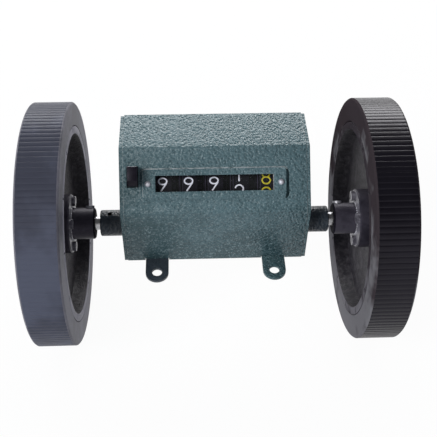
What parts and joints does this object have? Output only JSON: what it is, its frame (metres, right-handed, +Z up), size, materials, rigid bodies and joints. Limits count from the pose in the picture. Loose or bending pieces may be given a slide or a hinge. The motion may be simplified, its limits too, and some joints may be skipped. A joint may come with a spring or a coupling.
{
  "type": "cable length counter",
  "caption": "Cable length counter: sloped housing with number drums behind a window, push key for zero, mounting feet, and an axle with ribbed measuring wheels at both ends.",
  "frame": {"origin": "middle of the four foot holes, on the surface that the base plate stands on", "axes": "+X along the axle to the right of someone reading the window, -Y to the front, +Z up"},
  "size_m": [0.154, 0.1062, 0.1062],
  "materials": {
    "green_paint": "hammered green enamel",
    "black_steel": "blackened, satin",
    "cast_black": "rough casting, painted black",
    "tread_rubber": "ribbed black rubber",
    "steel": "plain turned or rolled steel",
    "bright_rivet": "bright plated",
    "brass": "machined brass",
    "drum_black": "moulded black, satin",
    "pinion_white": "moulded natural plastic",
    "key_black": "moulded black",
    "clear_lens": "clear sheet"
  },
  "bodies": {
    "housing": {"housing_shell": "green_paint", "left_end_cover": "green_paint", "right_end_cover": "green_paint", "cover_screws": "steel", "base_plate": "green_paint", "base_screws": "steel", "left_side_plate": "steel", "right_side_plate": "steel", "frame_screws": "steel", "tie_rods": "steel", "window_lens": "clear_lens", "window_rivets": "bright_rivet", "left_bush": "brass", "right_bush": "brass", "drum_spindle": "steel", "spindle_spacer": "steel", "pinion_shaft": "steel", "idler_stud": "steel", "key_guide": "steel", "comb_spring": "steel", "key_spring": "steel"},
    "wheel_set": {"drive_axle": "steel", "axle_collars": "steel", "collar_screws": "steel", "drive_gear": "brass", "left_hub": "black_steel", "right_hub": "black_steel", "hub_set_screws": "steel", "flange_screws": "steel", "left_wheel_disc": "cast_black", "right_wheel_disc": "cast_black", "left_tyre": "tread_rubber", "right_tyre": "tread_rubber"},
    "idler": {"idler_gear": "brass"},
    "thousands_drum_body": {"drum_thousands": "drum_black"},
    "hundreds_drum_body": {"drum_hundreds": "drum_black"},
    "tens_drum_body": {"drum_tens": "drum_black"},
    "units_drum_body": {"drum_units": "drum_black"},
    "tenths_drum_body": {"drum_tenths": "drum_black", "tenths_gear": "brass"},
    "thousands_pinion_body": {"carry_pinion_thousands": "pinion_white"},
    "hundreds_pinion_body": {"carry_pinion_hundreds": "pinion_white"},
    "tens_pinion_body": {"carry_pinion_tens": "pinion_white"},
    "units_pinion_body": {"carry_pinion_units": "pinion_white"},
    "key": {"reset_key": "key_black"},
    "comb": {"reset_comb": "steel"}
  },
  "joints": [
    {"name": "wheel_spin", "type": "hinge", "parent": "housing", "child": "wheel_set", "pos_m": [0, -0.0095, 0.0125], "axis": [1, 0, 0], "continuous": true},
    {"name": "idler_turn", "type": "hinge", "parent": "housing", "child": "idler", "pos_m": [0, 0.00293, 0.01383], "axis": [1, 0, 0], "continuous": true},
    {"name": "thousands_turn", "type": "hinge", "parent": "housing", "child": "thousands_drum_body", "pos_m": [0, -0.002, 0.028], "axis": [1, 0, 0], "continuous": true},
    {"name": "hundreds_turn", "type": "hinge", "parent": "housing", "child": "hundreds_drum_body", "pos_m": [0, -0.002, 0.028], "axis": [1, 0, 0], "continuous": true},
    {"name": "tens_turn", "type": "hinge", "parent": "housing", "child": "tens_drum_body", "pos_m": [0, -0.002, 0.028], "axis": [1, 0, 0], "continuous": true},
    {"name": "units_turn", "type": "hinge", "parent": "housing", "child": "units_drum_body", "pos_m": [0, -0.002, 0.028], "axis": [1, 0, 0], "continuous": true},
    {"name": "tenths_turn", "type": "hinge", "parent": "housing", "child": "tenths_drum_body", "pos_m": [0, -0.002, 0.028], "axis": [1, 0, 0], "continuous": true},
    {"name": "thousands_pinion_turn", "type": "hinge", "parent": "housing", "child": "thousands_pinion_body", "pos_m": [0, 0.00942, 0.02268], "axis": [1, 0, 0], "continuous": true},
    {"name": "hundreds_pinion_turn", "type": "hinge", "parent": "housing", "child": "hundreds_pinion_body", "pos_m": [0, 0.00942, 0.02268], "axis": [1, 0, 0], "continuous": true},
    {"name": "tens_pinion_turn", "type": "hinge", "parent": "housing", "child": "tens_pinion_body", "pos_m": [0, 0.00942, 0.02268], "axis": [1, 0, 0], "continuous": true},
    {"name": "units_pinion_turn", "type": "hinge", "parent": "housing", "child": "units_pinion_body", "pos_m": [0, 0.00942, 0.02268], "axis": [1, 0, 0], "continuous": true},
    {"name": "key_push", "type": "slide", "parent": "housing", "child": "key", "axis": [0, 0.7071, -0.7071], "range_m": [0, 0.0045], "stiffness_N_per_m": 250, "springref_m": -0.001, "deforming": ["key_spring"]},
    {"name": "comb_turn", "type": "hinge", "parent": "housing", "child": "comb", "pos_m": [0, 0.01242, 0.03465], "axis": [1, 0, 0], "range_deg": [0, 21.86]}
  ],
  "couplings": [
    {"joint": "idler_turn", "follows": "wheel_spin", "ratio": -0.66667},
    {"joint": "thousands_turn", "follows": "wheel_spin", "ratio": 0.000033333},
    {"joint": "hundreds_turn", "follows": "wheel_spin", "ratio": 0.00033333},
    {"joint": "tens_turn", "follows": "wheel_spin", "ratio": 0.0033333},
    {"joint": "units_turn", "follows": "wheel_spin", "ratio": 0.033333},
    {"joint": "tenths_turn", "follows": "wheel_spin", "ratio": 0.33333},
    {"joint": "thousands_pinion_turn", "follows": "wheel_spin", "ratio": -0.000083333},
    {"joint": "hundreds_pinion_turn", "follows": "wheel_spin", "ratio": -0.00083333},
    {"joint": "tens_pinion_turn", "follows": "wheel_spin", "ratio": -0.0083333},
    {"joint": "units_pinion_turn", "follows": "wheel_spin", "ratio": -0.083333},
    {"joint": "comb_turn", "follows": "key_push", "rad_per_m": 84.746}
  ]
}
